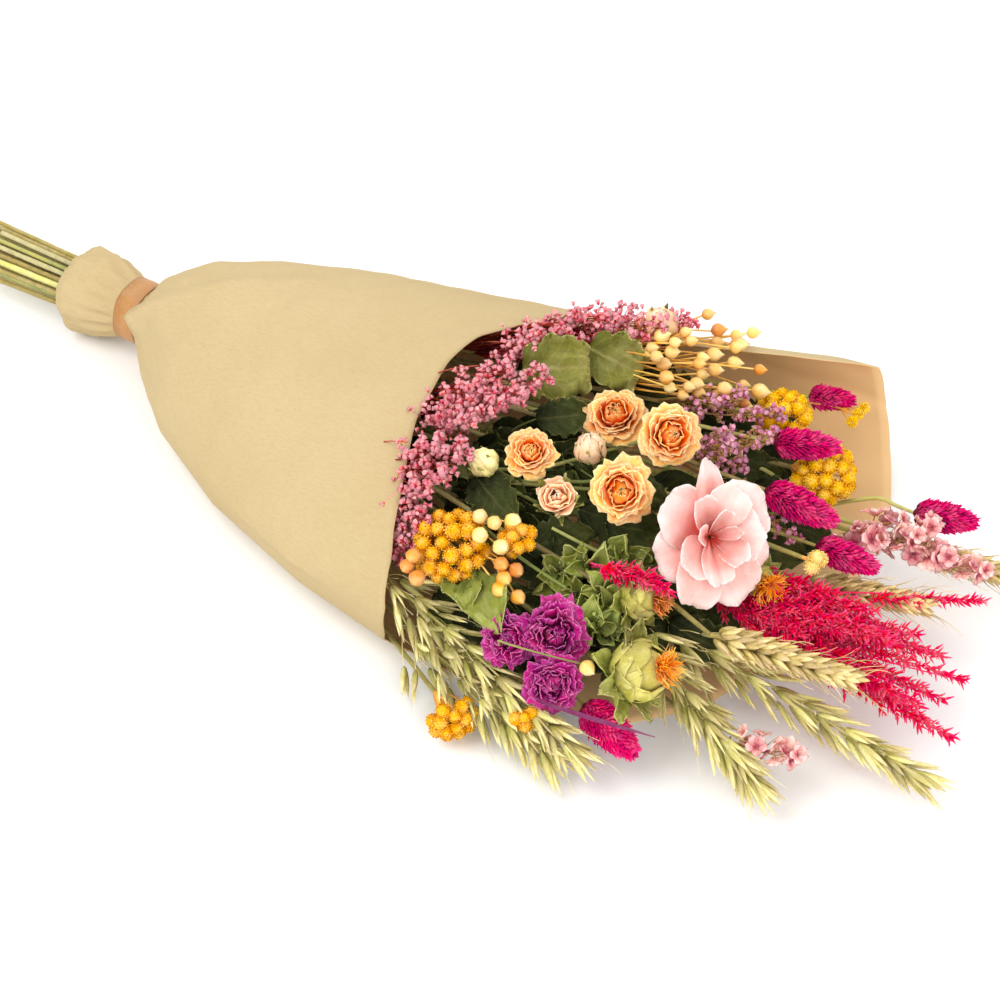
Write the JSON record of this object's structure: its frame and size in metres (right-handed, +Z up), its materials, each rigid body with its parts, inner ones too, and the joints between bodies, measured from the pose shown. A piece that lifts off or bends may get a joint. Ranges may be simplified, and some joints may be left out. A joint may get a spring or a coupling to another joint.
{
  "type": "dried_flower_bouquet",
  "caption": "Dried flowers wrapped in a cone of kraft paper and lying down: roses, a pale pith flower, golden heads, magenta and crimson grasses, oats and wheat.",
  "frame": {"origin": "the middle of the bounding box's base", "axes": "+X from the cut stems to the flowers, +Y to the far side, +Z up from the surface that it lies on"},
  "size_m": [0.669, 0.2898, 0.1183],
  "materials": {
    "paper": "matt kraft wrapping paper",
    "tie": "satin paper tape",
    "stems_leaves": "matt dried stems and leaves",
    "bracts": "matt dried bracts",
    "rose_petals": "matt dried petals",
    "purple_petals": "matt dried petals",
    "pith": "matt pith petals",
    "golden_heads": "matt dried heads",
    "magenta_ears": "matt dyed grass ears",
    "crimson_plume": "matt dyed plumes",
    "orange_tufts": "matt dried florets",
    "pale_grass": "matt dried grass",
    "flax_pods": "satin dried pods",
    "pink_florets": "matt dried florets",
    "dusty_florets": "matt dried florets",
    "lilac_florets": "matt dried florets"
  },
  "bodies": {
    "root": {"paper_wrap": "paper", "tie_band": "tie", "sola_stem": "stems_leaves", "sola_flower": "pith", "flax_1": "flax_pods", "flax_2": "flax_pods", "flax_3": "flax_pods", "broom_1": "pink_florets", "broom_2": "pink_florets", "broom_3": "pink_florets", "oats_1": "pale_grass", "oats_2": "pale_grass", "oats_3": "pale_grass", "oats_4": "pale_grass", "wheat_1": "pale_grass", "wheat_2": "pale_grass", "wheat_3": "pale_grass", "plume_1": "crimson_plume", "plume_2": "crimson_plume", "leafy_sprig": "stems_leaves", "statice_1": "lilac_florets", "statice_2": "lilac_florets", "larkspur_1": "dusty_florets", "larkspur_2": "dusty_florets", "larkspur_3": "dusty_florets", "peach_spray_1": "stems_leaves", "peach_spray_2": "stems_leaves", "peach_spray_3": "stems_leaves", "peach_spray_4": "stems_leaves", "purple_spray": "stems_leaves", "golden_buttons_1": "golden_heads", "golden_buttons_2": "golden_heads", "golden_buttons_3": "golden_heads", "golden_buttons_4": "golden_heads", "golden_buttons_5": "golden_heads", "golden_buttons_6": "golden_heads", "golden_buttons_7": "golden_heads", "phalaris_1": "magenta_ears", "phalaris_2": "magenta_ears", "phalaris_3": "magenta_ears", "phalaris_4": "magenta_ears", "phalaris_5": "magenta_ears", "phalaris_6": "magenta_ears", "safflower_1": "bracts", "safflower_2": "bracts", "safflower_3": "bracts", "peach_rose_1": "rose_petals", "peach_rose_2": "rose_petals", "peach_rose_3": "rose_petals", "peach_rose_4": "rose_petals", "purple_rose_1": "purple_petals", "purple_rose_2": "purple_petals", "purple_rose_3": "purple_petals", "peach_bud_1": "rose_petals", "peach_bud_2": "rose_petals", "peach_bud_3": "rose_petals", "peach_bud_4": "rose_petals", "safflower_tuft_1": "orange_tufts", "safflower_tuft_2": "orange_tufts", "safflower_tuft_3": "orange_tufts"}
  },
  "joints": []
}
